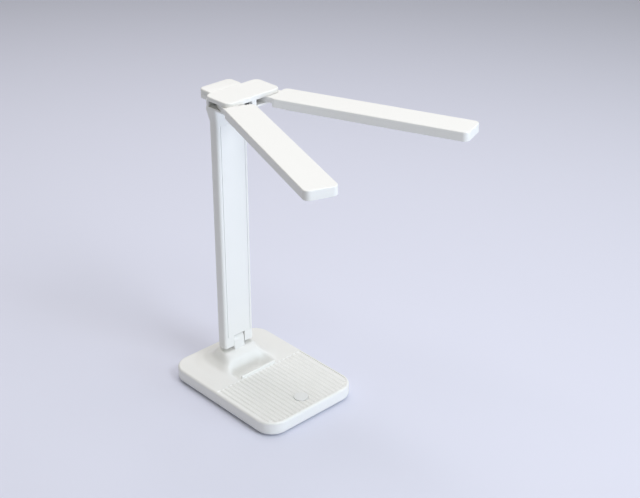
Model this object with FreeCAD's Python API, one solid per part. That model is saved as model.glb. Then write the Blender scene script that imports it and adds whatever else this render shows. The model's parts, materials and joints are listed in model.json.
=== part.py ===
"""Folding desk lamp: a ribbed base, a hinged column, a tilting head and two light bars that swing apart.

Millimetres.  The origin is the centre of the base's underside, +Z is up and the bars point towards -Y.
"""
import FreeCAD, Part

import math
import os

from FreeCAD import Vector

# ---- driving dimensions -------------------------------------------------------------------------

# Clearances
SEAM = 0.2                   # between two mouldings that meet at a visible line
RUNNING_FIT = 0.06           # radial, a pin in the piece that turns on it
FIXED_FIT = 0.02             # radial, a pin or screw in the piece that holds it
SCREW_FIT = 0.05             # radial, a screw in its hole
HEAD_GAP = 0.15              # radial, a screw head in its pocket
COVER_SEAM = 0.4             # along the sides of the column's front cover
COVER_END_SEAM = 0.1         # at its ends
KEY_SEAM = 0.35              # round the touch key

# Base
BASE_WIDTH = 120.0
BASE_DEPTH = 161.0
BASE_TOP = 16.4
BASE_CORNER = 20.0
BASE_WALL = 2.0
BASE_TOP_EDGE = 2.4
BASE_LOW_EDGE = 4.5
BASE_OPENING_WALL = 1.5      # ring under the rounded lower edge, round the tray
PAD_THICK = 1.0
PAD_INSET = 5.6
TRAY_THICK = 2.0

# Ribbed front of the base
RIB_PITCH = 5.2
RIB_GROOVE_WIDTH = 2.4
RIB_GROOVE_DEPTH = 0.7
RIB_SETBACK = 0.4            # from the lip
RIB_MARGIN = 2.6

# Hump under the column: half width, reach ahead of the column's middle and behind it, rise, corner
HUMP_FOOT = (42.0, 34.95, 32.55, -0.3, 24.0)
HUMP_SKIRT = (32.0, 30.45, 25.55, 1.3, 18.0)
HUMP_WAIST = (24.5, 20.95, 16.55, 6.3, 11.0)
HUMP_HEIGHT = 15.0
HUMP_RIM = 1.2
HUMP_CORNER = 5.0

# Recess for a phone or pen, and its lip
LIP_HALF = 22.5
LIP_AHEAD = 38.85            # front of the lip from the column's middle
LIP_THICK = 2.8
LIP_RISE = 2.8
RECESS_DEPTH = 7.4
RECESS_MOUTH_RISE = 20.0     # from its floor to the level where the mouth is measured
RECESS_FLOOR_SIZE = (18.0, 16.1, 9.0)     # half width, depth behind the lip, rear corner
RECESS_MOUTH_SIZE = (36.0, 19.9, 14.0)    # the same at the mouth

# Touch key
KEY_RADIUS = 7.4
KEY_INSET = 20.5
KEY_FLANGE = 1.3
KEY_FLANGE_THICK = 1.0
KEY_BOARD = (20.0, 16.0, 1.2)

# Ballast, cell, board and inlet
BALLAST_SIDE_INSET = 19.0
BALLAST_INSET = 13.5
BALLAST_THICK = 5.0
BALLAST_CORNER = 4.0
CELL = (28.0, 50.0, 6.0)
CELL_INSET = 23.5            # middle of the cell from the base's left side
CELL_AHEAD = 18.45           # and from the column's middle
CELL_GAP = 10.0              # to the ballast
CELL_ROUND = 2.0
BOARD = (44.0, 18.0, 1.6)
BOARD_INSET = 11.9
BOARD_POST_HEIGHT = 2.0
BOARD_POST_RADIUS = 2.0
BOARD_POST_INSET = 5.5
INLET = (9.0, 7.6, 3.3)
INLET_WALL = 0.35
INLET_DEPTH = 6.2

# Base screws
TRAY_SCREW_INSET = (12.0, 14.5)
TRAY_SCREW_RADIUS = 1.3
TRAY_SCREW_HEAD = 2.5
TRAY_SCREW_HEAD_HEIGHT = 1.2
TRAY_SCREW_REACH = 11.0
TRAY_BOSS_RADIUS = 3.4

# Column
COLUMN_HALF = 19.2
COLUMN_DEPTH = 15.1
COLUMN_SETBACK = 28.5        # from the base's rear
COLUMN_FRONT_CORNER = 3.0
COLUMN_REAR_CORNER = 7.0
COLUMN_WALL = 2.0
SHAFT_LENGTH = 255.0
COLLAR_RISE = 13.0
COLLAR_BAND = 2.5
COLLAR_SPREAD = 0.9
COLLAR_REAR = 1.5
COLLAR_REAR_CORNER = 3.0

# Front cover of the column
COVER_HALF = 15.2
COVER_THICK = 2.0
COVER_LEDGE = 1.2
HOOK_LENGTH = 9.0
HOOK_THICK = 1.2
HOOK_BARB = 0.8
HOOK_COUNT = 5

# Wires in the column
WIRE_RADIUS = 0.9
WIRE_SPACING = 2.4

# Lower hinge
TILT_RISE = 24.2             # axis above the base
COLUMN_DROP = 4.6            # end of the column below the axis
TONGUE_HALF = 6.9
TONGUE_RADIUS = 7.2
TONGUE_FOOT = 2.0            # height of the slope in front of it
LUG_INNER = 7.6
WINDOW_RISE = 7.8
TILT_PIN_RADIUS = 2.0
TILT_PIN_HALF = 15.5
TILT_WASHER_RADIUS = 5.4
TILT_WASHER_THICK = 0.5

# Upper hinge
NOD_AHEAD = 4.25             # axis ahead of the column's middle
NOD_RISE = 3.75              # axis above the collar, and the head above the axis
NOD_RADIUS = 3.3
NOD_LUG_INNER = 8.3
NOD_LUG_OUTER = 17.4
NOD_KNUCKLE_HALF = 7.7
NOD_LUG_REACH = 7.3
NOD_PIN_RADIUS = 1.5
NOD_PIN_HALF = 16.2
NOD_WASHER_RADIUS = 3.0
NOD_WASHER_THICK = 0.45

# Head
HEAD_LIFT = 0.7              # degrees that the head points up from level
HEAD_HALF = 33.1
HEAD_DEPTH = 35.7
HEAD_AHEAD = 2.8             # rear of the plates ahead of the hinge axis
HEAD_CAP_THICK = 4.4
HEAD_CORNER = 7.0
HEAD_WALL = 1.6
HEAD_TOP_EDGE = 1.3
LOWER_PLATE_THICK = 1.8
SWING_SLOT = 6.3
LOWER_PLATE_INSET = 0.9
SPINE_DEPTH = 4.9
PILLAR_HALF = 3.0
PILLAR_DEPTH = 6.0
BLOCK_HALF = 19.7
BLOCK_DEPTH = 25.8
TUB_HEIGHT = 4.8
LID_HEIGHT = 4.6
BLOCK_CORNER = 6.0
BLOCK_WALL = 1.8
BLOCK_TOP_EDGE = 2.0
PIVOT_PLATE_THICK = 1.2

# Swing pivots and the pins in them
PIVOT_X = 16.0
PIVOT_SETBACK = 18.9         # ahead of the plates' rear
PIVOT_PIN_RADIUS = 2.2
PIVOT_PIN_HEAD = 3.4
PIVOT_PIN_HEAD_HEIGHT = 0.9
PIVOT_WASHER_RADIUS = 4.8
PIVOT_WASHER_THICK = 0.3
PIVOT_WASHER_PLAY = 0.04
PIVOT_PIN_ABOVE = 0.8

# Head screws
HEAD_SCREW_RADIUS = 1.0
HEAD_SCREW_HEAD = 1.9
HEAD_SCREW_HEAD_HEIGHT = 1.1
HEAD_BOSS_RADIUS = 2.5
SPINE_SCREW_X = 27.0
BLOCK_SCREW_X = 12.5
BLOCK_SCREW_INSET = 7.2

# Light bars
SWING_REST = 20.3            # degrees, each bar from straight ahead
ARM_ROOT = 22.9
ARM_LENGTH = 199.6
ARM_WIDTH = 31.1
ARM_STEP = 2.0               # top of the bars below the top of the head
ARM_SHELL_HEIGHT = 8.8
ARM_WALL = 1.5
ARM_ROOF = 1.6
ARM_CORNER = 5.5
ARM_TOP_EDGE = 1.2
NECK_HALF = 5.4              # of the stem and the tail inside the bar
NECK_INNER = 8.0             # side of the neck that faces the other bar
NECK_OUTER = 13.5            # outer side, round behind the pivot
NECK_TAIL = 14.8
NECK_TAIL_HEIGHT = 4.0
NECK_GAP = 0.15
ARM_CAP_LENGTH = 13.2
ARM_CAP_THICK = 1.8
ARM_SCREW_RADIUS = 0.9
ARM_SCREW_HEAD = 1.7
ARM_SCREW_HEAD_HEIGHT = 1.1
ARM_SCREW_X = 3.0
ARM_SCREW_BEHIND = 8.6
ARM_BOSS_RADIUS = 2.4
DIFFUSER_DROP = 1.0
DIFFUSER_LIP = 0.7
DIFFUSER_PLUG = 1.6
DIFFUSER_EDGE = 0.7
LED_BOARD_WIDTH = 24.0
LED_BOARD_THICK = 1.6
LED_BOARD_INSET = 3.0
LED_SIZE = (2.8, 3.5, 0.7)
LED_ROW = 6.0
LED_PITCH = 12.0

# ---- sizes that follow --------------------------------------------------------------------------

BASE_FRONT = -BASE_DEPTH / 2
BASE_REAR = BASE_DEPTH / 2
TRAY_TOP = PAD_THICK + TRAY_THICK
TRAY_OPENING = BASE_LOW_EDGE + BASE_OPENING_WALL
CAVITY_TOP = BASE_TOP - BASE_WALL
COLUMN_REAR = BASE_REAR - COLUMN_SETBACK
COLUMN_FRONT = COLUMN_REAR - COLUMN_DEPTH
COLUMN_MIDDLE = COLUMN_REAR - COLUMN_DEPTH / 2
LIP_FRONT = COLUMN_MIDDLE - LIP_AHEAD
LIP_BACK = LIP_FRONT + LIP_THICK
RIB_BACK = LIP_FRONT - RIB_SETBACK
RECESS_FLOOR = BASE_TOP - RECESS_DEPTH
HUMP_TOP = BASE_TOP + HUMP_HEIGHT
KEY_PLACE = BASE_FRONT + KEY_INSET
CELL_X = CELL_INSET - BASE_WIDTH / 2
CELL_Y = COLUMN_MIDDLE - CELL_AHEAD
BALLAST_REAR = CELL_Y - CELL[1] / 2 - CELL_GAP
BOARD_PLACE = BASE_REAR - BOARD_INSET
TILT_HEIGHT = BASE_TOP + TILT_RISE
COLUMN_LOW = TILT_HEIGHT - COLUMN_DROP
COLLAR_START = COLUMN_LOW + SHAFT_LENGTH
COLLAR_TOP = COLLAR_START + COLLAR_RISE + COLLAR_BAND
NOD_PLACE = COLUMN_MIDDLE - NOD_AHEAD
NOD_HEIGHT = COLLAR_TOP + NOD_RISE
NOD_LUG_FOOT = NOD_PLACE + NOD_LUG_REACH
WINDOW_TOP = TILT_HEIGHT + WINDOW_RISE
COVER_TOP = COLLAR_START - COLUMN_WALL
CHANNEL_LOW = WINDOW_TOP + COLUMN_WALL
CHANNEL_BACK = COLUMN_REAR - COLUMN_WALL
HEAD_REAR = NOD_PLACE - HEAD_AHEAD
HEAD_FRONT = HEAD_REAR - HEAD_DEPTH
BLOCK_REAR = HEAD_REAR + BLOCK_DEPTH
PIVOT_Y = HEAD_REAR - PIVOT_SETBACK
LOWER_PLATE_BOTTOM = NOD_HEIGHT + NOD_RISE
LOWER_PLATE_TOP = LOWER_PLATE_BOTTOM + LOWER_PLATE_THICK
CAP_BOTTOM = LOWER_PLATE_TOP + SWING_SLOT
HEAD_TOP = CAP_BOTTOM + HEAD_CAP_THICK
BLOCK_SPLIT = LOWER_PLATE_BOTTOM + TUB_HEIGHT
BLOCK_TOP = BLOCK_SPLIT + LID_HEIGHT
NECK_BOTTOM = LOWER_PLATE_TOP + PIVOT_WASHER_THICK + 2 * PIVOT_WASHER_PLAY
NECK_TOP = CAP_BOTTOM - PIVOT_WASHER_THICK - 2 * PIVOT_WASHER_PLAY
SPINE_FRONT = HEAD_REAR - SPINE_DEPTH
ARM_TOP = HEAD_TOP - ARM_STEP
ARM_BOTTOM = ARM_TOP - ARM_SHELL_HEIGHT
ARM_CEILING = ARM_TOP - ARM_ROOF
ARM_TIP = ARM_ROOT + ARM_LENGTH
ARM_INNER_HALF = ARM_WIDTH / 2 - ARM_WALL
TAIL_BOTTOM = ARM_BOTTOM + ARM_CAP_THICK
TAIL_TOP = TAIL_BOTTOM + NECK_TAIL_HEIGHT


# ---- helpers ------------------------------------------------------------------------------------

def outline(left, right, front, rear, height, front_radius, rear_radius=None):
    """Closed wire of a rectangle with round corners, flat at the given height."""
    rear_radius = front_radius if rear_radius is None else rear_radius
    corners = [
        (right - front_radius, front + front_radius, front_radius, -90),
        (right - rear_radius, rear - rear_radius, rear_radius, 0),
        (left + rear_radius, rear - rear_radius, rear_radius, 90),
        (left + front_radius, front + front_radius, front_radius, 180),
    ]
    arcs = []
    for x, y, radius, start in corners:
        points = []
        for angle in (start, start + 45, start + 90):
            turn = math.radians(angle)
            points.append(Vector(x + radius * math.cos(turn), y + radius * math.sin(turn), height))
        arcs.append(points)
    edges = []
    for here, after in zip(arcs, arcs[1:] + arcs[:1]):
        edges.append(Part.Arc(*here).toShape())
        if here[2].distanceToPoint(after[0]) > 1e-6:
            edges.append(Part.LineSegment(here[2], after[0]).toShape())
    return Part.Wire(edges)


def cut_outline(left, right, front, rear, height, cut_x, cut_y):
    """Closed wire of a rectangle with its corners cut off, flat at the given height."""
    points = [
        Vector(right - cut_x, front, height), Vector(right, front + cut_y, height),
        Vector(right, rear - cut_y, height), Vector(right - cut_x, rear, height),
        Vector(left + cut_x, rear, height), Vector(left, rear - cut_y, height),
        Vector(left, front + cut_y, height), Vector(left + cut_x, front, height),
    ]
    return Part.makePolygon(points + points[:1])


def plate(left, right, front, rear, low, high, front_radius, rear_radius=None):
    """Slab with round plan corners between two heights."""
    wire = outline(left, right, front, rear, low, front_radius, rear_radius)
    return Part.Face(wire).extrude(Vector(0, 0, high - low))


def block(x_low, x_high, y_low, y_high, z_low, z_high):
    """Square-edged block between two corners."""
    corner = Vector(x_low, y_low, z_low)
    return Part.makeBox(x_high - x_low, y_high - y_low, z_high - z_low, corner)


def upright(x, y, low, high, radius):
    """Round bar that stands along Z."""
    return Part.makeCylinder(radius, high - low, Vector(x, y, low), Vector(0, 0, 1))


def crossbar(x_low, x_high, y, z, radius):
    """Round bar that lies along X."""
    return Part.makeCylinder(radius, x_high - x_low, Vector(x_low, y, z), Vector(1, 0, 0))


def profile_along_x(points, x_low, x_high):
    """Solid whose outline in Y and Z runs through the points; a triple of points makes an arc."""
    edges = []
    for item in points:
        ends = [Vector(x_low, y, z) for y, z in item]
        maker = Part.Arc if len(ends) == 3 else Part.LineSegment
        edges.append(maker(*ends).toShape())
    return Part.Face(Part.Wire(edges)).extrude(Vector(x_high - x_low, 0, 0))


def level_edges(shape, height, size=0.0):
    """Edges that lie flat at one height."""
    found = []
    for edge in shape.Edges:
        box = edge.BoundBox
        if abs(box.ZMin - height) < 1e-4 and abs(box.ZMax - height) < 1e-4 and edge.Length > size:
            found.append(edge)
    return found


def fused(shapes):
    """One solid of several, without the seams between them."""
    return shapes[0].fuse(shapes[1:]).removeSplitter()


def screw(x, y, seat, reach, radius, head_radius, head_height):
    """Round-headed screw that goes up from its head's lower face."""
    head = upright(x, y, seat, seat + head_height, head_radius)
    return head.fuse(upright(x, y, seat, seat + reach, radius)).removeSplitter()


def screw_hole(x, y, seat, reach, radius, head_radius, head_height, below):
    """Clearance for the same screw, open downwards."""
    head = upright(x, y, below, seat + head_height + SEAM, head_radius + HEAD_GAP)
    return head.fuse(upright(x, y, below, seat + reach + SEAM, radius + SCREW_FIT))


parts = {}


# ---- base ---------------------------------------------------------------------------------------

def base_outline(inset, low, high):
    half_width = BASE_WIDTH / 2 - inset
    half_depth = BASE_DEPTH / 2 - inset
    return plate(-half_width, half_width, -half_depth, half_depth, low, high, BASE_CORNER - inset)


def base_hollow():
    """Space inside the base, drawn in to the tray's opening along the rounded lower edge."""
    half_width = BASE_WIDTH / 2
    half_depth = BASE_DEPTH / 2
    wires = []
    for inset, height in ((TRAY_OPENING, PAD_THICK), (BASE_WALL, PAD_THICK + BASE_LOW_EDGE)):
        wires.append(outline(inset - half_width, half_width - inset, inset - half_depth, half_depth - inset, height,
                             BASE_CORNER - inset))
    funnel = Part.makeLoft(wires, True, True)
    opening = base_outline(TRAY_OPENING, PAD_THICK - 1, PAD_THICK + BASE_LOW_EDGE)
    return fused([base_outline(BASE_WALL, PAD_THICK + BASE_LOW_EDGE, CAVITY_TOP), funnel, opening])


def hump_levels():
    """Half width, front, rear, height and corner radius of each level, from the foot to the top."""
    levels = []
    for half, ahead, behind, rise, radius in (HUMP_FOOT, HUMP_SKIRT, HUMP_WAIST):
        levels.append((half, COLUMN_MIDDLE - ahead, COLUMN_MIDDLE + behind, BASE_TOP + rise, radius))
    levels.append((COLUMN_HALF + HUMP_RIM, COLUMN_FRONT - HUMP_RIM, COLUMN_REAR + HUMP_RIM, HUMP_TOP, HUMP_CORNER))
    return levels


def hump():
    """Mound that carries the column and flows out into the top of the base."""
    wires = []
    for half, front, rear, height, radius in hump_levels():
        wires.append(outline(-half, half, front, rear, height, radius))
    return Part.makeLoft(wires, True, False)


def hump_hollow():
    """Plain tapered space under the mound."""
    wall = BASE_WALL
    wires = []
    for half, front, rear, height, radius in hump_levels():
        cut = radius * 0.58
        wires.append(cut_outline(-half + wall, half - wall, front + wall, rear - wall, height - wall * 1.2, cut, cut))
    return Part.makeLoft(wires, True, True)


def recess_levels(wall):
    """Half width, rear, height and rear corner radius at the floor and the mouth, grown by a wall."""
    levels = []
    for (half, depth, radius), height in (
        (RECESS_FLOOR_SIZE, RECESS_FLOOR - wall),
        (RECESS_MOUTH_SIZE, RECESS_FLOOR + RECESS_MOUTH_RISE),
    ):
        levels.append((half + wall, LIP_BACK + depth + wall, height, radius + wall))
    return levels


def recess():
    """Scoop with steep sides and round rear corners, cut off by the straight back of the lip."""
    wires = []
    for half, rear, height, radius in recess_levels(0):
        wires.append(outline(-half, half, LIP_BACK - radius, rear, height, radius / 2, radius))
    scoop = Part.makeLoft(wires, True, True)
    reach = RECESS_MOUTH_SIZE[0] + 1
    return scoop.common(block(-reach, reach, LIP_BACK, LIP_BACK + reach, 0, HUMP_TOP + reach))


def recess_wall():
    """Plain underside of the scoop."""
    wires = []
    for half, rear, height, radius in recess_levels(BASE_WALL):
        cut = radius * 0.58
        wires.append(cut_outline(-half, half, LIP_BACK - BASE_WALL, rear, height, cut, cut))
    return Part.makeLoft(wires, True, True)


def rib_grooves():
    """Fine V grooves from front to back, each ended by the rounded edge of the base."""
    straight = BASE_WIDTH / 2 - BASE_CORNER
    bend = BASE_CORNER - RIB_MARGIN
    count = int((BASE_WIDTH / 2 - RIB_MARGIN) / RIB_PITCH)
    grooves = []
    for index in range(-count, count + 1):
        x = index * RIB_PITCH
        beyond = max(0.0, abs(x) + RIB_GROOVE_WIDTH / 2 - straight)
        if beyond >= bend:
            continue
        front = -(BASE_DEPTH / 2 - BASE_CORNER) - math.sqrt(bend ** 2 - beyond ** 2)
        points = [
            Vector(x - RIB_GROOVE_WIDTH / 2, front, BASE_TOP + SEAM),
            Vector(x + RIB_GROOVE_WIDTH / 2, front, BASE_TOP + SEAM),
            Vector(x, front, BASE_TOP - RIB_GROOVE_DEPTH),
        ]
        wire = Part.makePolygon(points + points[:1])
        grooves.append(Part.Face(wire).extrude(Vector(0, RIB_BACK - front, 0)))
    return grooves


def tongue():
    """Centre leaf of the lower hinge, round on top and sloping into the hump in front."""
    root = HUMP_TOP - BASE_WALL
    front = COLUMN_MIDDLE - TONGUE_RADIUS
    rear = COLUMN_MIDDLE + TONGUE_RADIUS
    foot = COLUMN_FRONT - HUMP_RIM
    slope_top = HUMP_TOP + TONGUE_FOOT
    points = [
        [(foot, root), (foot, HUMP_TOP)],
        [(foot, HUMP_TOP), (front, slope_top)],
        [(front, slope_top), (front, TILT_HEIGHT)],
        [(front, TILT_HEIGHT), (COLUMN_MIDDLE, TILT_HEIGHT + TONGUE_RADIUS), (rear, TILT_HEIGHT)],
        [(rear, TILT_HEIGHT), (rear, root)],
        [(rear, root), (foot, root)],
    ]
    return profile_along_x(points, -TONGUE_HALF, TONGUE_HALF)


def tray_screw_places():
    x = BASE_WIDTH / 2 - TRAY_SCREW_INSET[0]
    y = BASE_DEPTH / 2 - TRAY_SCREW_INSET[1]
    return [(-x, -y), (x, -y), (x, y), (-x, y)]


def inlet_body(growth):
    """Flat-sided oval of the charging socket, mouth at the rear rim."""
    width, length, height = INLET
    low = TRAY_TOP + BOARD_POST_HEIGHT + BOARD[2]
    half = width / 2 + growth
    centre = low + height / 2
    radius = height / 2 + growth
    rear = BASE_DEPTH / 2 - SEAM
    ends = [Vector(side * (half - radius), rear - length, centre) for side in (-1, 1)]
    top = Vector(0, 0, radius)
    edges = [
        Part.Arc(ends[0] + top, ends[0] - Vector(radius, 0, 0), ends[0] - top).toShape(),
        Part.LineSegment(ends[0] - top, ends[1] - top).toShape(),
        Part.Arc(ends[1] - top, ends[1] + Vector(radius, 0, 0), ends[1] + top).toShape(),
        Part.LineSegment(ends[1] + top, ends[0] + top).toShape(),
    ]
    return Part.Face(Part.Wire(edges)), Vector(0, length, 0)


def make_base():
    outer = base_outline(0, PAD_THICK, BASE_TOP)
    outer = outer.makeFillet(BASE_TOP_EDGE, level_edges(outer, BASE_TOP))
    outer = outer.makeFillet(BASE_LOW_EDGE, level_edges(outer, PAD_THICK))
    lip = plate(-LIP_HALF, LIP_HALF, LIP_FRONT, LIP_BACK, BASE_TOP - 1, BASE_TOP + LIP_RISE, LIP_THICK * 0.49)
    lip = lip.makeFillet(LIP_THICK * 0.42, level_edges(lip, BASE_TOP + LIP_RISE))
    body = fused([outer, hump(), tongue()]).cut(rib_grooves())
    body = body.fuse(lip).cut(recess())

    hollow = base_hollow().fuse(hump_hollow()).cut(recess_wall())
    bosses = []
    for x, y in tray_screw_places():
        bosses.append(upright(x, y, TRAY_TOP, CAVITY_TOP + 0.5, TRAY_BOSS_RADIUS))
    body = body.cut(hollow).fuse(bosses)
    cuts = [upright(0, KEY_PLACE, CAVITY_TOP - 1, BASE_TOP + 1, KEY_RADIUS + KEY_SEAM)]
    for x, y in tray_screw_places():
        top = PAD_THICK + TRAY_SCREW_REACH + SEAM
        cuts.append(upright(x, y, TRAY_TOP - 1, top, TRAY_SCREW_RADIUS + SCREW_FIT))
    cuts.append(crossbar(-COLUMN_HALF, COLUMN_HALF, COLUMN_MIDDLE, TILT_HEIGHT, TILT_PIN_RADIUS + FIXED_FIT))
    face, run = inlet_body(SEAM)
    cuts.append(face.extrude(run * 1.5))
    parts["base_cover"] = body.cut(cuts).removeSplitter()

    tray = base_outline(TRAY_OPENING + SEAM, PAD_THICK, TRAY_TOP)
    posts = []
    for side in (-1, 1):
        for end in (-1, 1):
            x = side * (BOARD[0] / 2 - BOARD_POST_INSET)
            y = BOARD_PLACE + end * (BOARD[1] / 2 - BOARD_POST_INSET)
            posts.append(upright(x, y, TRAY_TOP - 0.5, TRAY_TOP + BOARD_POST_HEIGHT, BOARD_POST_RADIUS))
    holes = []
    screws = []
    size = (TRAY_SCREW_RADIUS, TRAY_SCREW_HEAD, TRAY_SCREW_HEAD_HEIGHT)
    for x, y in tray_screw_places():
        holes.append(screw_hole(x, y, PAD_THICK, TRAY_SCREW_REACH, *size, PAD_THICK - 1))
        screws.append(screw(x, y, PAD_THICK, TRAY_SCREW_REACH, *size))
    parts["base_tray"] = tray.fuse(posts).cut(holes).removeSplitter()
    parts["base_screws"] = Part.makeCompound(screws)
    parts["base_pad"] = base_outline(PAD_INSET, 0, PAD_THICK)

    half = BASE_WIDTH / 2 - BALLAST_SIDE_INSET
    parts["ballast_plate"] = plate(-half, half, BASE_FRONT + BALLAST_INSET, BALLAST_REAR,
                                   TRAY_TOP, TRAY_TOP + BALLAST_THICK, BALLAST_CORNER)
    width, depth, height = CELL
    cell = plate(CELL_X - width / 2, CELL_X + width / 2, CELL_Y - depth / 2, CELL_Y + depth / 2,
                 TRAY_TOP, TRAY_TOP + height, 3)
    parts["battery_cell"] = cell.makeFillet(CELL_ROUND, level_edges(cell, TRAY_TOP + height))


def make_base_electrics():
    low = TRAY_TOP + BOARD_POST_HEIGHT
    top = low + BOARD[2]
    half_width = BOARD[0] / 2
    half_depth = BOARD[1] / 2
    board = block(-half_width, half_width, BOARD_PLACE - half_depth, BOARD_PLACE + half_depth, low, top)
    driver = block(-half_width + 4, -half_width + 10, BOARD_PLACE - 4, BOARD_PLACE + 2, top, top + 1.4)
    coil = block(half_width - 12, half_width - 6, BOARD_PLACE - 5, BOARD_PLACE + 1, top, top + 2.6)
    parts["control_board"] = fused([board, driver, coil])

    face, run = inlet_body(0)
    shell = face.extrude(run)
    mouth_face, mouth_run = inlet_body(-INLET_WALL)
    mouth = mouth_face.extrude(mouth_run)
    mouth.translate(Vector(0, INLET[1] - INLET_DEPTH, 0))
    contact_low = low + BOARD[2] + INLET[2] / 2 - 0.35
    rear = BASE_DEPTH / 2 - SEAM
    half_width = INLET[0] * 0.36
    blade = block(-half_width, half_width, rear - INLET[1] + 0.5, rear - 1.0, contact_low, contact_low + 0.7)
    parts["charge_inlet"] = shell.cut(mouth).fuse(blade).removeSplitter()

    stem = upright(0, KEY_PLACE, CAVITY_TOP, BASE_TOP, KEY_RADIUS)
    flange = upright(0, KEY_PLACE, CAVITY_TOP - KEY_FLANGE_THICK, CAVITY_TOP, KEY_RADIUS + KEY_FLANGE)
    parts["touch_disc"] = stem.fuse(flange).removeSplitter()
    board_top = CAVITY_TOP - KEY_FLANGE_THICK
    width, depth, thick = KEY_BOARD
    parts["touch_board"] = block(-width / 2, width / 2, KEY_PLACE - depth / 2, KEY_PLACE + depth / 2,
                                 board_top - thick, board_top)


def hinge_washers(inner, thickness, y, z, radius, hole):
    """Thin discs on both sides of a hinge's middle leaf."""
    discs = []
    for side in (-1, 1):
        start = side * (inner + PIVOT_WASHER_PLAY)
        low = min(start, start + side * thickness)
        disc = crossbar(low, low + thickness, y, z, radius)
        discs.append(disc.cut(crossbar(low - 1, low + thickness + 1, y, z, hole)))
    return Part.makeCompound(discs)


def make_tilt_hinge():
    place = (COLUMN_MIDDLE, TILT_HEIGHT)
    parts["tilt_pin"] = crossbar(-TILT_PIN_HALF, TILT_PIN_HALF, *place, TILT_PIN_RADIUS)
    parts["tilt_washers"] = hinge_washers(TONGUE_HALF, TILT_WASHER_THICK, *place, TILT_WASHER_RADIUS,
                                          TILT_PIN_RADIUS + RUNNING_FIT)


# ---- column -------------------------------------------------------------------------------------

def column_section(height, spread=0.0, rear_growth=0.0, rear_corner=COLUMN_REAR_CORNER):
    half = COLUMN_HALF + spread
    return outline(-half, half, COLUMN_FRONT, COLUMN_REAR + rear_growth, height, COLUMN_FRONT_CORNER, rear_corner)


def upper_lug(x_low, x_high):
    """Hinge lug on the collar, round over the pin with a sloping rear foot."""
    foot = Vector(0, NOD_LUG_FOOT - NOD_PLACE, COLLAR_TOP - NOD_HEIGHT)
    reach = foot.Length
    bearing = math.atan2(foot.z, foot.y) + math.acos(NOD_RADIUS / reach)
    touch = (NOD_PLACE + NOD_RADIUS * math.cos(bearing), NOD_HEIGHT + NOD_RADIUS * math.sin(bearing))
    crown = (bearing + math.pi) / 2
    over = (NOD_PLACE + NOD_RADIUS * math.cos(crown), NOD_HEIGHT + NOD_RADIUS * math.sin(crown))
    front = NOD_PLACE - NOD_RADIUS
    root = COLLAR_TOP - 1
    points = [
        [(front, root), (front, NOD_HEIGHT)],
        [(front, NOD_HEIGHT), over, touch],
        [touch, (NOD_LUG_FOOT, COLLAR_TOP)],
        [(NOD_LUG_FOOT, COLLAR_TOP), (NOD_LUG_FOOT, root)],
        [(NOD_LUG_FOOT, root), (front, root)],
    ]
    return profile_along_x(points, x_low, x_high)


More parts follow.
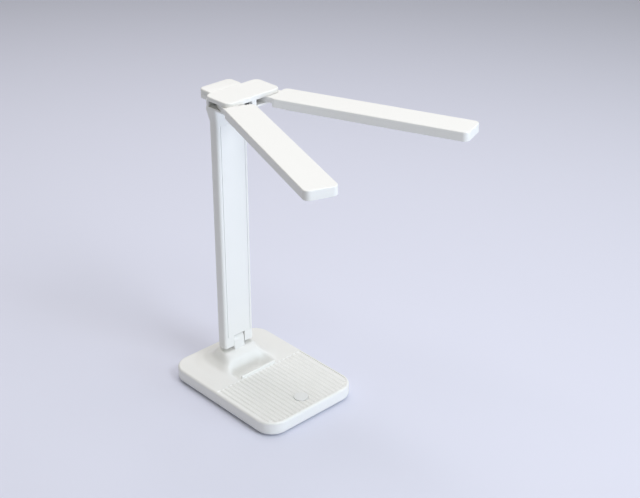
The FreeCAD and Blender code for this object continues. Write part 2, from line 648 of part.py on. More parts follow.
def make_column():
    shaft = Part.Face(column_section(COLUMN_LOW)).extrude(Vector(0, 0, COLLAR_START - COLUMN_LOW))
    grown = (COLLAR_SPREAD, COLLAR_REAR, COLLAR_REAR_CORNER)
    wide = COLLAR_START + COLLAR_RISE
    flare = Part.makeLoft([column_section(COLLAR_START), column_section(wide, *grown)], True, True)
    collar = Part.Face(column_section(wide, *grown)).extrude(Vector(0, 0, COLLAR_TOP - wide))
    lugs = [upper_lug(NOD_LUG_INNER, NOD_LUG_OUTER), upper_lug(-NOD_LUG_OUTER, -NOD_LUG_INNER)]
    body = fused([shaft, flare, collar] + lugs)

    reach = COLUMN_DEPTH + 2
    window = block(-LUG_INNER, LUG_INNER, COLUMN_FRONT - 1, COLUMN_FRONT + reach, COLUMN_LOW - 1, WINDOW_TOP)
    pocket = block(-COVER_HALF, COVER_HALF, COLUMN_FRONT - 1, COLUMN_FRONT + COVER_THICK, WINDOW_TOP, COVER_TOP)
    ledge = COVER_HALF - COVER_LEDGE
    opening = block(-ledge, ledge, COLUMN_FRONT, COLUMN_FRONT + COVER_THICK + COVER_LEDGE + 1,
                    CHANNEL_LOW, COVER_TOP - COVER_LEDGE)
    half = COLUMN_HALF - COLUMN_WALL
    channel = plate(-half, half, COLUMN_FRONT + COVER_THICK + COVER_LEDGE, CHANNEL_BACK, CHANNEL_LOW,
                    COVER_TOP - COVER_LEDGE, 1.0, COLUMN_REAR_CORNER - COLUMN_WALL)
    tilt_bore = crossbar(-TILT_PIN_HALF - SEAM, TILT_PIN_HALF + SEAM, COLUMN_MIDDLE, TILT_HEIGHT,
                         TILT_PIN_RADIUS + RUNNING_FIT)
    nod_bore = crossbar(-NOD_PIN_HALF - SEAM, NOD_PIN_HALF + SEAM, NOD_PLACE, NOD_HEIGHT,
                        NOD_PIN_RADIUS + RUNNING_FIT)
    parts["column_housing"] = body.cut([window, pocket, opening, channel, tilt_bore, nod_bore]).removeSplitter()

    cover_half = COVER_HALF - COVER_SEAM
    low = WINDOW_TOP + COVER_END_SEAM
    top = COVER_TOP - COVER_END_SEAM
    back = COLUMN_FRONT + COVER_THICK
    panel = block(-cover_half, cover_half, COLUMN_FRONT, back, low, top)
    hooks = []
    span = top - low
    ledge_back = back + COVER_LEDGE + SEAM
    for index in range(HOOK_COUNT):
        start = low + span * (index + 0.5) / HOOK_COUNT - HOOK_LENGTH / 2
        for side in (-1, 1):
            outer_face = side * (ledge - SEAM)
            inner_face = outer_face - side * HOOK_THICK
            x_low, x_high = sorted((outer_face, inner_face))
            hooks.append(block(x_low, x_high, back - 0.5, ledge_back + 1.2, start, start + HOOK_LENGTH))
            x_low, x_high = sorted((inner_face, outer_face + side * HOOK_BARB))
            hooks.append(block(x_low, x_high, ledge_back, ledge_back + 1.2, start, start + HOOK_LENGTH))
    parts["column_front_cover"] = fused([panel] + hooks)

    wires = []
    for side in (-1, 1):
        place = Vector(side * WIRE_SPACING / 2, CHANNEL_BACK - WIRE_RADIUS - SEAM / 2, CHANNEL_LOW)
        length = COVER_TOP - COVER_LEDGE - CHANNEL_LOW
        wires.append(Part.makeCylinder(WIRE_RADIUS, length, place, Vector(0, 0, 1)))
    parts["column_wires"] = Part.makeCompound(wires)


# ---- head ---------------------------------------------------------------------------------------

def block_outline(inset, front, low, high):
    half = BLOCK_HALF - inset
    return plate(-half, half, front, BLOCK_REAR - inset, low, high, 0.3, BLOCK_CORNER - inset)


def head_screw_places():
    """Centre, and the height that each screw reaches."""
    cap_reach = HEAD_TOP - HEAD_WALL
    block_reach = BLOCK_TOP - BLOCK_WALL
    spine_y = SPINE_FRONT + SPINE_DEPTH / 2
    pillar_y = HEAD_FRONT + LOWER_PLATE_INSET + PILLAR_DEPTH / 2
    x = BLOCK_SCREW_X
    y = BLOCK_REAR - BLOCK_SCREW_INSET
    return [
        (-SPINE_SCREW_X, spine_y, cap_reach), (SPINE_SCREW_X, spine_y, cap_reach), (0, pillar_y, cap_reach),
        (-x, y, block_reach), (x, y, block_reach),
    ]


def make_head():
    inset = LOWER_PLATE_INSET
    half = HEAD_HALF - inset
    floor = plate(-half, half, HEAD_FRONT + inset, HEAD_REAR, LOWER_PLATE_BOTTOM, LOWER_PLATE_TOP,
                  HEAD_CORNER - inset)
    spine = plate(-half, half, SPINE_FRONT, HEAD_REAR, LOWER_PLATE_BOTTOM, CAP_BOTTOM, 1.0, SPINE_DEPTH - 1.2)
    pillar = plate(-PILLAR_HALF, PILLAR_HALF, HEAD_FRONT + inset, HEAD_FRONT + inset + PILLAR_DEPTH,
                   LOWER_PLATE_BOTTOM, CAP_BOTTOM, 1.0)
    tub = block_outline(0, HEAD_REAR - 1, LOWER_PLATE_BOTTOM, BLOCK_SPLIT)
    knuckle_root = LOWER_PLATE_BOTTOM + 1
    front = NOD_PLACE - NOD_RADIUS
    rear = NOD_PLACE + NOD_RADIUS
    knuckle = profile_along_x([
        [(front, knuckle_root), (front, NOD_HEIGHT)],
        [(front, NOD_HEIGHT), (NOD_PLACE, NOD_HEIGHT - NOD_RADIUS), (rear, NOD_HEIGHT)],
        [(rear, NOD_HEIGHT), (rear, knuckle_root)],
        [(rear, knuckle_root), (front, knuckle_root)],
    ], -NOD_KNUCKLE_HALF, NOD_KNUCKLE_HALF)
    body = fused([floor, spine, pillar, tub, knuckle])
    hollow = block_outline(BLOCK_WALL, HEAD_REAR + BLOCK_WALL, LOWER_PLATE_TOP, BLOCK_SPLIT + 1)
    bosses = []
    for x, y, reach in head_screw_places()[3:]:
        bosses.append(upright(x, y, LOWER_PLATE_BOTTOM, BLOCK_SPLIT, HEAD_BOSS_RADIUS))
    body = body.cut(hollow).fuse(bosses)

    screws = []
    holes = []
    seat = LOWER_PLATE_BOTTOM + SEAM
    size = (HEAD_SCREW_RADIUS, HEAD_SCREW_HEAD, HEAD_SCREW_HEAD_HEIGHT)
    for x, y, reach in head_screw_places():
        length = reach - seat - SEAM
        screws.append(screw(x, y, seat, length, *size))
        holes.append(screw_hole(x, y, seat, length, *size, LOWER_PLATE_BOTTOM - 1))
    parts["head_screws"] = Part.makeCompound(screws)

    pins = []
    pin_holes = []
    washers = []
    pin_top = CAP_BOTTOM + PIVOT_PLATE_THICK + PIVOT_PIN_ABOVE
    for x in (-PIVOT_X, PIVOT_X):
        pins.append(screw(x, PIVOT_Y, seat, pin_top - seat, PIVOT_PIN_RADIUS, PIVOT_PIN_HEAD, PIVOT_PIN_HEAD_HEIGHT))
        below = LOWER_PLATE_BOTTOM - 1
        pin_holes.append(upright(x, PIVOT_Y, below, seat + PIVOT_PIN_HEAD_HEIGHT, PIVOT_PIN_HEAD + HEAD_GAP))
        pin_holes.append(upright(x, PIVOT_Y, below, HEAD_TOP - HEAD_WALL, PIVOT_PIN_RADIUS + FIXED_FIT))
        for low in (LOWER_PLATE_TOP + PIVOT_WASHER_PLAY, NECK_TOP + PIVOT_WASHER_PLAY):
            disc = upright(x, PIVOT_Y, low, low + PIVOT_WASHER_THICK, PIVOT_WASHER_RADIUS)
            washers.append(disc.cut(upright(x, PIVOT_Y, low - 1, low + 1, PIVOT_PIN_RADIUS + RUNNING_FIT)))
    parts["pivot_pins"] = Part.makeCompound(pins)
    parts["pivot_washers"] = Part.makeCompound(washers)
    pin_bore = crossbar(-COLUMN_HALF, COLUMN_HALF, NOD_PLACE, NOD_HEIGHT, NOD_PIN_RADIUS + FIXED_FIT)
    parts["head_lower_housing"] = body.cut(holes + pin_holes + [pin_bore]).removeSplitter()

    place = (NOD_PLACE, NOD_HEIGHT)
    parts["head_hinge_pin"] = crossbar(-NOD_PIN_HALF, NOD_PIN_HALF, *place, NOD_PIN_RADIUS)
    parts["head_hinge_washers"] = hinge_washers(NOD_KNUCKLE_HALF, NOD_WASHER_THICK, *place, NOD_WASHER_RADIUS,
                                                NOD_PIN_RADIUS + RUNNING_FIT)

    ceiling = HEAD_TOP - HEAD_WALL
    cap = plate(-HEAD_HALF, HEAD_HALF, HEAD_FRONT, HEAD_REAR, CAP_BOTTOM, HEAD_TOP, HEAD_CORNER)
    cap = cap.makeFillet(HEAD_TOP_EDGE, level_edges(cap, HEAD_TOP))
    wall = HEAD_WALL
    pocket = plate(-HEAD_HALF + wall, HEAD_HALF - wall, HEAD_FRONT + wall, HEAD_REAR - wall, CAP_BOTTOM - 1, ceiling,
                   HEAD_CORNER - wall)
    cap_bosses = []
    for x, y, reach in head_screw_places()[:3]:
        cap_bosses.append(upright(x, y, CAP_BOTTOM, ceiling + 0.5, HEAD_BOSS_RADIUS))
    seat_bosses = []
    plate_top = CAP_BOTTOM + PIVOT_PLATE_THICK
    for x in (-PIVOT_X, PIVOT_X):
        seat_bosses.append(upright(x, PIVOT_Y, plate_top, ceiling + 0.5, PIVOT_WASHER_RADIUS))
    parts["head_top_cover"] = cap.cut(pocket).fuse(cap_bosses + seat_bosses).cut(holes + pin_holes).removeSplitter()

    gap = wall + SEAM
    steel = plate(-HEAD_HALF + gap, HEAD_HALF - gap, HEAD_FRONT + gap, HEAD_REAR - gap, CAP_BOTTOM, plate_top,
                  HEAD_CORNER - gap)
    clear = []
    for x, y, reach in head_screw_places()[:3]:
        clear.append(upright(x, y, CAP_BOTTOM - 1, plate_top + 1, HEAD_BOSS_RADIUS + SEAM))
    parts["pivot_plate"] = steel.cut(clear + pin_holes)

    low = BLOCK_SPLIT + SEAM
    lid = block_outline(0, HEAD_REAR + SEAM, low, BLOCK_TOP)
    lid = lid.makeFillet(BLOCK_TOP_EDGE, [
        edge for edge in level_edges(lid, BLOCK_TOP, 1.0) if edge.BoundBox.YMax > HEAD_REAR + 1
    ])
    lid_hollow = block_outline(BLOCK_WALL, HEAD_REAR + BLOCK_WALL, low - 1, BLOCK_TOP - BLOCK_WALL)
    lid_bosses = []
    for x, y, reach in head_screw_places()[3:]:
        lid_bosses.append(upright(x, y, low, BLOCK_TOP - BLOCK_WALL + 0.5, HEAD_BOSS_RADIUS))
    parts["head_rear_cover"] = lid.cut(lid_hollow).fuse(lid_bosses).cut(holes).removeSplitter()


# ---- light bars ---------------------------------------------------------------------------------

def make_bar():
    """Pieces of the right bar with its pivot at the origin, pointing towards -Y."""
    bar = {}
    eye = upright(0, 0, NECK_BOTTOM, NECK_TOP, NECK_INNER)
    shoulder_front = NECK_GAP - ARM_ROOT
    shoulder = block(-NECK_INNER, NECK_OUTER, shoulder_front, 0, NECK_BOTTOM, NECK_TOP)
    outer_round = upright(0, 0, NECK_BOTTOM, NECK_TOP, NECK_OUTER)
    outer_round = outer_round.common(block(0, NECK_OUTER, 0, NECK_OUTER, NECK_BOTTOM, NECK_TOP))
    stem = block(-NECK_HALF, NECK_HALF, -ARM_ROOT - ARM_WALL, 0, NECK_BOTTOM, NECK_TOP)
    tail = block(-NECK_HALF, NECK_HALF, -ARM_ROOT - NECK_TAIL, -ARM_ROOT, TAIL_BOTTOM, TAIL_TOP)
    bore = upright(0, 0, NECK_BOTTOM - 1, NECK_TOP + 1, PIVOT_PIN_RADIUS + RUNNING_FIT)
    neck = fused([eye, shoulder, outer_round, stem, tail]).cut(bore)

    half = ARM_WIDTH / 2
    shell = plate(-half, half, -ARM_TIP, -ARM_ROOT, ARM_BOTTOM, ARM_TOP, ARM_CORNER)
    shell = shell.makeFillet(ARM_TOP_EDGE, level_edges(shell, ARM_TOP))
    inner = ARM_INNER_HALF
    tip = -ARM_TIP + ARM_WALL
    hollow = plate(-inner, inner, tip, -ARM_ROOT - ARM_WALL, ARM_BOTTOM - 1, ARM_CEILING, ARM_CORNER - ARM_WALL)
    doorway = block(-NECK_HALF - NECK_GAP, NECK_HALF + NECK_GAP, -ARM_ROOT - ARM_WALL - 1, -ARM_ROOT + 1,
                    ARM_BOTTOM - 1, NECK_TOP + NECK_GAP)
    screw_y = -ARM_ROOT - ARM_SCREW_BEHIND
    seat = ARM_BOTTOM + SEAM
    reach = ARM_CEILING - seat
    size = (ARM_SCREW_RADIUS, ARM_SCREW_HEAD, ARM_SCREW_HEAD_HEIGHT)
    bosses = []
    screws = []
    holes = []
    for x in (-ARM_SCREW_X, ARM_SCREW_X):
        bosses.append(upright(x, screw_y, TAIL_TOP, ARM_CEILING + 0.5, ARM_BOSS_RADIUS))
        screws.append(screw(x, screw_y, seat, reach, *size))
        holes.append(screw_hole(x, screw_y, seat, reach, *size, ARM_BOTTOM - 1))
    bar["shell"] = shell.cut([hollow, doorway]).fuse(bosses).cut(holes).removeSplitter()
    bar["neck"] = neck.cut(holes).removeSplitter()
    bar["screws"] = Part.makeCompound(screws)

    cap_half = inner - SEAM
    cap_front = -ARM_ROOT - ARM_WALL - SEAM - ARM_CAP_LENGTH
    cap = plate(-cap_half, cap_half, cap_front, -ARM_ROOT - ARM_WALL - SEAM, ARM_BOTTOM, TAIL_BOTTOM,
                0.5, ARM_CORNER - ARM_WALL)
    bar["root_cap"] = cap.cut(holes).removeSplitter()

    face = ARM_BOTTOM - DIFFUSER_DROP
    lip_half = half - DIFFUSER_LIP
    rear = cap_front - SEAM
    lens = plate(-lip_half, lip_half, -ARM_TIP + DIFFUSER_LIP, rear, face, ARM_BOTTOM - SEAM / 2,
                 ARM_CORNER - DIFFUSER_LIP, 1.5)
    lens = lens.makeFillet(DIFFUSER_EDGE, level_edges(lens, face))
    plug = plate(-cap_half, cap_half, tip + SEAM, rear - SEAM, ARM_BOTTOM - SEAM, ARM_BOTTOM + DIFFUSER_PLUG,
                 ARM_CORNER - ARM_WALL - SEAM, 0.5)
    bar["diffuser"] = lens.fuse(plug).removeSplitter()

    board_rear = -ARM_ROOT - NECK_TAIL - LED_BOARD_INSET
    board_tip = tip + LED_BOARD_INSET
    board_low = ARM_CEILING - LED_BOARD_THICK
    board_half = LED_BOARD_WIDTH / 2
    bar["led_board"] = block(-board_half, board_half, board_tip, board_rear, board_low, ARM_CEILING)
    width, depth, thick = LED_SIZE
    count = int((board_rear - board_tip - LED_PITCH) / LED_PITCH) + 1
    margin = (board_rear - board_tip - (count - 1) * LED_PITCH) / 2
    chips = []
    for index in range(count):
        y = board_tip + margin + index * LED_PITCH
        for x in (-LED_ROW, LED_ROW):
            chips.append(block(x - width / 2, x + width / 2, y - depth / 2, y + depth / 2,
                               board_low - thick, board_low))
    bar["leds"] = Part.makeCompound(chips)
    return bar


def place_bars():
    bar = make_bar()
    for name, side in (("arm_left", -1), ("arm_right", 1)):
        for piece, shape in bar.items():
            placed = shape.copy() if side > 0 else shape.mirror(Vector(0, 0, 0), Vector(1, 0, 0))
            placed.rotate(Vector(0, 0, 0), Vector(0, 0, 1), side * SWING_REST)
            placed.translate(Vector(side * PIVOT_X, PIVOT_Y, 0))
            parts[name + "_" + piece] = placed


def lift_head():
    """Turn the head and its bars about the upper hinge to the angle that they are seen at."""
    for name, shape in parts.items():
        if name.startswith(("head_", "pivot_", "arm_")):
            shape.rotate(Vector(0, NOD_PLACE, NOD_HEIGHT), Vector(1, 0, 0), -HEAD_LIFT)


make_base()
make_base_electrics()
make_tilt_hinge()
make_column()
make_head()
place_bars()
lift_head()

os.makedirs("parts", exist_ok=True)
for name, shape in parts.items():
    shape.exportStep("parts/" + name + ".step")
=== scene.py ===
import json
import math

import bmesh
import bpy
import numpy as np
from mathutils import Matrix, Vector
from mathutils.geometry import delaunay_2d_cdt


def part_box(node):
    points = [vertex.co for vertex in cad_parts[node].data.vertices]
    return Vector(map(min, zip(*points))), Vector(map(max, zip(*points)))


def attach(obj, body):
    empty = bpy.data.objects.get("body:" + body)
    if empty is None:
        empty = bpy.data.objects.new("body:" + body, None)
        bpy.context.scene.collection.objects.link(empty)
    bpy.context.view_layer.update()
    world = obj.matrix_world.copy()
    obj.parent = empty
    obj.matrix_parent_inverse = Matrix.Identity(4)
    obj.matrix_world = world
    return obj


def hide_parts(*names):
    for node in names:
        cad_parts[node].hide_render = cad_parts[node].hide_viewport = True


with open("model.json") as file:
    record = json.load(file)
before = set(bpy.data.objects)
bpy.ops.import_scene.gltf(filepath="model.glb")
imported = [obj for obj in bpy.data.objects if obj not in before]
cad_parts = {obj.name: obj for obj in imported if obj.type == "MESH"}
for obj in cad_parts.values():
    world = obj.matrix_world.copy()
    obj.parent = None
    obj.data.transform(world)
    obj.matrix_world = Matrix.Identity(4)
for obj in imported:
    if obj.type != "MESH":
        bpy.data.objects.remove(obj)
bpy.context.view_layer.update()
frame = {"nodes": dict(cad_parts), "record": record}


# ---- the view ---------------------------------------------------------------------------------
# The lamp is seen from its left front, a little above the head, through a short telephoto.
# The place was worked out from the lamp's straight edges in the photograph.

view_azimuth = math.radians(-43.20)
view_elevation = math.radians(28.11)
view_roll = math.radians(0.07)
view_distance = 1.3710
view_target = Vector((0.08258, 0.0, 0.13387))
focal_pixels = 1306.8
picture_width = 640
film_width = 36.0

view_side = Vector((math.sin(view_azimuth), -math.cos(view_azimuth), 0))
towards_camera = view_side * math.cos(view_elevation) + Vector((0, 0, math.sin(view_elevation)))
camera_data = bpy.data.cameras.new("camera")
camera_data.sensor_width = film_width
camera_data.lens = film_width * focal_pixels / picture_width
camera = bpy.data.objects.new("camera", camera_data)
bpy.context.scene.collection.objects.link(camera)
camera.matrix_world = (
    Matrix.Translation(view_target + towards_camera * view_distance)
    @ (-towards_camera).to_track_quat("-Z", "Y").to_matrix().to_4x4()
    @ Matrix.Rotation(view_roll, 4, "Z")
)
bpy.context.scene.camera = camera


# ---- paper sweep --------------------------------------------------------------------------------
# The lamp stands on a seamless sheet of cool lavender-grey background paper, matt and plain.
# The paper darkens away from the lamp, as it leaves the light: this shade is painted into its colour, and it
# runs along the sheet.

def linear(code):
    """sRGB hex to linear colour."""
    channels = []
    for start in (0, 2, 4):
        value = int(code[start:start + 2], 16) / 255
        channels.append(value / 12.92 if value <= 0.04045 else ((value + 0.055) / 1.055) ** 2.4)
    return (*channels, 1.0)


def add_node(tree, kind, settings=None, inputs=(), **named):
    """Adds a node with its settings; inputs come in the sockets' order or by name, as values or links."""
    node = tree.nodes.new(kind)
    for name, value in (settings or {}).items():
        setattr(node, name, value)
    pairs = list(zip(node.inputs, inputs))
    pairs += [(node.inputs[name.replace("_", " ")], value) for name, value in named.items()]
    for socket, value in pairs:
        if isinstance(value, bpy.types.NodeSocket):
            tree.links.new(value, socket)
        elif value is not None:
            socket.default_value = value
    return node


def new_material(name):
    material = bpy.data.materials.new(name)
    material.use_nodes = True
    material.node_tree.nodes.clear()
    return material, material.node_tree


# Matt paper gives no highlight; its soft shade from near to far is painted shade in the colour.
paper, tree = new_material("background_paper")
# Painted shade: the near colour is the paper in the light, the far colour the paper out of it.
paper_near = linear("DFE1F0")
paper_far = linear("B6B8C6")
far_from = 0.45
far_to = 2.3
place = add_node(tree, "ShaderNodeTexCoord").outputs["Object"]
away = add_node(tree, "ShaderNodeVectorMath", {"operation": "DOT_PRODUCT"}, [place, -view_side])
shade = add_node(tree, "ShaderNodeMapRange", {"interpolation_type": "SMOOTHSTEP"},
                 Value=away.outputs["Value"], From_Min=far_from, From_Max=far_to)
colour = add_node(tree, "ShaderNodeMix", {"data_type": "RGBA"})
tree.links.new(shade.outputs["Result"], colour.inputs["Factor"])
colour.inputs[6].default_value = paper_near
colour.inputs[7].default_value = paper_far
shader = add_node(tree, "ShaderNodeBsdfDiffuse", Color=colour.outputs[2])
add_node(tree, "ShaderNodeOutputMaterial", Surface=shader.outputs[0])

sheet_half = 8.0
mesh = bpy.data.meshes.new("paper")
corners = [(-1, -1), (1, -1), (1, 1), (-1, 1)]
mesh.from_pydata([(x * sheet_half, y * sheet_half, 0) for x, y in corners], [], [(0, 1, 2, 3)])
mesh.materials.append(paper)
paper_sheet = bpy.data.objects.new("paper", mesh)
bpy.context.scene.collection.objects.link(paper_sheet)


# ---- studio light -------------------------------------------------------------------------------
# Soft boxes hang over the lamp, in front of it above the head, behind it and to its right.  Two cool
# windows stand in front, one of them low, and the room fills the shaded side.

room_colour = "FFFFF0"
room_strength = 0.29
light_aim = Vector((0.0, 0.0, 0.12))

world = bpy.data.worlds.new("room")
bpy.context.scene.world = world
world.use_nodes = True
world.node_tree.nodes["Background"].inputs["Color"].default_value = linear(room_colour)
world.node_tree.nodes["Background"].inputs["Strength"].default_value = room_strength

for name, place, size, watts, colour in (
    ("overhead", (0.0, -0.1, 1.8), 1.1, 9.6, "FDFBFF"),
    ("rear", (0.3, 1.2, 1.5), 1.1, 6.2, "FDF9FF"),
    ("right", (0.75, 0.1, 1.7), 1.1, 4.4, "F7F7FF"),
    ("front_high", (0.1, -1.3, 1.5), 0.6, 9.0, "F7FBFF"),
    ("front_window", (0.1, -2.1, 0.75), 1.3, 4.0, "E9F4FF"),
    ("low_window", (0.85, -2.4, 0.42), 0.7, 19.5, "E0F0FF"),
):
    data = bpy.data.lights.new(name, "AREA")
    data.size = size
    data.energy = watts
    data.color = linear(colour)[:3]
    soft_box = bpy.data.objects.new(name, data)
    soft_box.location = place
    soft_box.rotation_euler = (light_aim - Vector(place)).to_track_quat("-Z", "Y").to_euler()
    bpy.context.scene.collection.objects.link(soft_box)


# ---- base cover ---------------------------------------------------------------------------------
# White ABS moulding: a round-cornered tray whose top swells into a smooth mound for the column,
# with a scoop in front of it.  It is moulded in one piece, with a fine spark-eroded grain.

mm = 0.001

# Moulded ABS has a soft, slightly broken sheen.  The grain is drawn coarser than the real one, and from
# this far it still only softens the sheen.
white_abs, tree = new_material("white_abs_fine_grain")
grain = 0.45 * mm
grain_depth = 0.012 * mm
place = add_node(tree, "ShaderNodeTexCoord").outputs["Object"]
grains = add_node(tree, "ShaderNodeTexNoise", Vector=place, Scale=1 / grain, Detail=2.0)
relief = add_node(tree, "ShaderNodeBump", Height=grains.outputs[0], Distance=grain_depth, Strength=0.6)
shader = add_node(tree, "ShaderNodeBsdfPrincipled", Base_Color=linear("F1F1EF"), Roughness=0.42, IOR=1.53,
                  Normal=relief.outputs[0])
add_node(tree, "ShaderNodeOutputMaterial", Surface=shader.outputs[0])

base_low, base_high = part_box("base_cover")
key_low, key_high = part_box("touch_disc")
column_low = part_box("column_front_cover")[0]
base_half = Vector((base_high.x, base_high.y))
base_bottom = base_low.z
base_top = key_high.z
base_corner = 20 * mm
top_edge = 2.4 * mm
low_edge = 4.5 * mm
opening_wall = 1.5 * mm
opening = low_edge + opening_wall
wall = 2.0 * mm

column_half = 19.2 * mm
column_front = column_low.y
column_depth = 15.1 * mm
column_rear = column_front + column_depth
column_middle = (column_front + column_rear) / 2

# Levels of the mound from the foot up: half width, reach ahead of the column's middle and behind it,
# rise above the flat top, corner radius
mound_foot = (42.0 * mm, 34.95 * mm, 32.55 * mm, -0.1 * mm, 24 * mm)
mound_skirt = (32.0 * mm, 30.45 * mm, 25.55 * mm, 1.5 * mm, 18 * mm)
mound_waist = (24.5 * mm, 20.95 * mm, 16.55 * mm, 6.4 * mm, 11 * mm)
mound_rim = 1.2 * mm
mound_rise = 15 * mm
mound_top = base_top + mound_rise
mound_corner = 5 * mm
mound_blend = 1.6                                 # in cells of the height field

mound_levels = [
    (half, column_middle - ahead, column_middle + behind, base_top + rise, radius)
    for half, ahead, behind, rise, radius in (mound_foot, mound_skirt, mound_waist)
]
mound_levels.append(
    (column_half + mound_rim, column_front - mound_rim, column_rear + mound_rim, mound_top, mound_corner)
)
lip_ahead = 38.85 * mm
lip_thick = 2.8 * mm
lip_front = column_middle - lip_ahead
lip_back = lip_front + lip_thick
scoop_depth = 10.6 * mm
scoop_floor = base_top - scoop_depth
scoop_rise = 23.2 * mm
floor_plan = (18.0 * mm, 16.1 * mm, 9.0 * mm)     # half width, depth behind the lip, corner radius
mouth_plan = (36.0 * mm, 19.9 * mm, 14.0 * mm)
scoop_blend = 1.4                                 # in cells
scoop_share_limit = 3.0
scoop_halvings = 24

rib_margin = 2.6 * mm
rib_setback = 0.4 * mm
rib_back = lip_front - rib_setback
deck_drop = 0.8 * mm
deck_bank = 0.3 * mm
key_radius = 7.4 * mm
key_seam = 0.5 * mm
key_hole = key_radius + key_seam
key_y = (key_low.y + key_high.y) / 2

skin_step = 1.0 * mm
outline_step = 1.5 * mm
corner_steps = 16
hole_steps = 72
low_edge_steps = 7
top_edge_steps = 6
rim_gap = 0.5 * mm                                # least room from a grid point to each outline
hole_gap = 0.4 * mm
bank_gap = 0.45 * mm
ring_gap = 0.2 * mm
fan_middle = 60 * mm                              # the deck's outline is sorted round this point
weld = 1e-7


def to_round_rectangle(x, y, left, right, front, rear, radius):
    """Distance from each point to the outline of a round-cornered rectangle, negative inside."""
    across = np.abs(x - (left + right) / 2) - (right - left) / 2 + radius
    along = np.abs(y - (front + rear) / 2) - (rear - front) / 2 + radius
    outside = np.hypot(np.maximum(across, 0), np.maximum(along, 0))
    return outside + np.minimum(np.maximum(across, along), 0) - radius


def blurred(field, radius):
    """Height field smoothed by a bell curve of that radius, counted in cells."""
    reach = int(3 * radius)
    weights = np.exp(-0.5 * (np.arange(-reach, reach + 1) / radius) ** 2)
    weights /= weights.sum()
    for axis in (0, 1):
        edged = np.pad(field, [(reach, reach) if axis == a else (0, 0) for a in (0, 1)], mode="edge")
        field = np.apply_along_axis(lambda line: np.convolve(line, weights, "valid"), axis, edged)
    return field


def mound_height(x, y):
    """Height of the top with its mound, before the scoop."""
    distances = [
        to_round_rectangle(x, y, -half, half, front, rear, radius)
        for half, front, rear, _, radius in mound_levels
    ]
    climb = np.zeros_like(x)
    for outer, inner in zip(distances, distances[1:]):
        climb += np.clip(-outer / (np.maximum(-outer, 0) + np.maximum(inner, 0) + 1e-9), 0, 1)
    heights = [level[3] for level in mound_levels]
    return np.interp(climb, range(len(heights)), heights)


def scoop_height(x, y):
    """Height of the scoop's wall over each point, found between its floor and its mouth."""
    low = np.zeros_like(x)
    high = np.full_like(x, scoop_share_limit)
    for _ in range(scoop_halvings):
        middle = (low + high) / 2
        half, depth, radius = [at_floor + middle * (at_mouth - at_floor)
                               for at_floor, at_mouth in zip(floor_plan, mouth_plan)]
        ahead = lip_front - mouth_plan[0]
        inside = to_round_rectangle(x, y, -half, half, ahead, lip_back + depth, radius) < 0
        high = np.where(inside, middle, high)
        low = np.where(inside, low, middle)
    return scoop_floor + low * scoop_rise


columns = np.arange(-base_half.x, base_half.x + skin_step / 2, skin_step)
rows = np.arange(-base_half.y, base_half.y + skin_step / 2, skin_step)
grid_x, grid_y = np.meshgrid(columns, rows)
plain_top = mound_height(grid_x, grid_y)
mound = blurred(plain_top, mound_blend)
dished = blurred(np.minimum(plain_top, scoop_height(grid_x, grid_y)), scoop_blend)
field = np.where(grid_y > (lip_front + lip_back) / 2, dished, mound)


def top_height(x, y):
    """Height of the finished top over each point, with the sunk deck under the ribs."""
    column = np.clip((x + base_half.x) / skin_step, 0, len(columns) - 1.001)
    row = np.clip((y + base_half.y) / skin_step, 0, len(rows) - 1.001)
    i, j = row.astype(int), column.astype(int)
    u, v = row - i, column - j
    height = (
        field[i, j] * (1 - u) * (1 - v) + field[i + 1, j] * u * (1 - v)
        + field[i, j + 1] * (1 - u) * v + field[i + 1, j + 1] * u * v
    )
    inside = -to_deck(x, y) / deck_bank
    return height - deck_drop * np.clip(inside, 0, 1)


def to_deck(x, y):
    """Distance from each point to the sunk deck's outline, negative inside."""
    half = base_half - Vector((rib_margin, rib_margin))
    around = to_round_rectangle(x, y, -half.x, half.x, -half.y, half.y, base_corner - rib_margin)
    return np.maximum(around, y - rib_back)


def ring(inset):
    """Points on the base's outline, moved inwards, at the same places round it for every inset."""
    radius = base_corner - inset
    points = []
    for turn, sign_x, sign_y in ((0, 1, 1), (90, -1, 1), (180, -1, -1), (270, 1, -1)):
        centre = Vector((sign_x * (base_half.x - base_corner), sign_y * (base_half.y - base_corner)))
        for index in range(corner_steps + 1):
            angle = math.radians(turn + 90 * index / corner_steps)
            points.append(centre + Vector((math.cos(angle), math.sin(angle))) * radius)
        after = centre + Vector((math.cos(angle), math.sin(angle))) * radius
        side = Vector((-sign_y, 0)) if turn % 180 == 0 else Vector((0, sign_x))
        length = 2 * (base_half.x if turn % 180 == 0 else base_half.y) - 2 * base_corner
        count = int(length / outline_step)
        points += [after + side * length * index / count for index in range(1, count)]
    return points


def circle(centre_y, radius, count):
    """Points on a circle that is centred across the base."""
    turns = [math.tau * index / count for index in range(count)]
    return [Vector((radius * math.cos(turn), centre_y + radius * math.sin(turn))) for turn in turns]


# Outline rings of the skirt and its two round edges, from the foot to the flat top
skirt = [(wall, base_bottom + low_edge), (opening, base_bottom)]
for index in range(low_edge_steps + 1):
    angle = math.radians(90 * index / low_edge_steps)
    skirt.append((low_edge * (1 - math.sin(angle)), base_bottom + low_edge * (1 - math.cos(angle))))
for index in range(top_edge_steps + 1):
    angle = math.radians(90 * index / top_edge_steps)
    skirt.append((top_edge * (1 - math.cos(angle)), base_top - top_edge * (1 - math.sin(angle))))

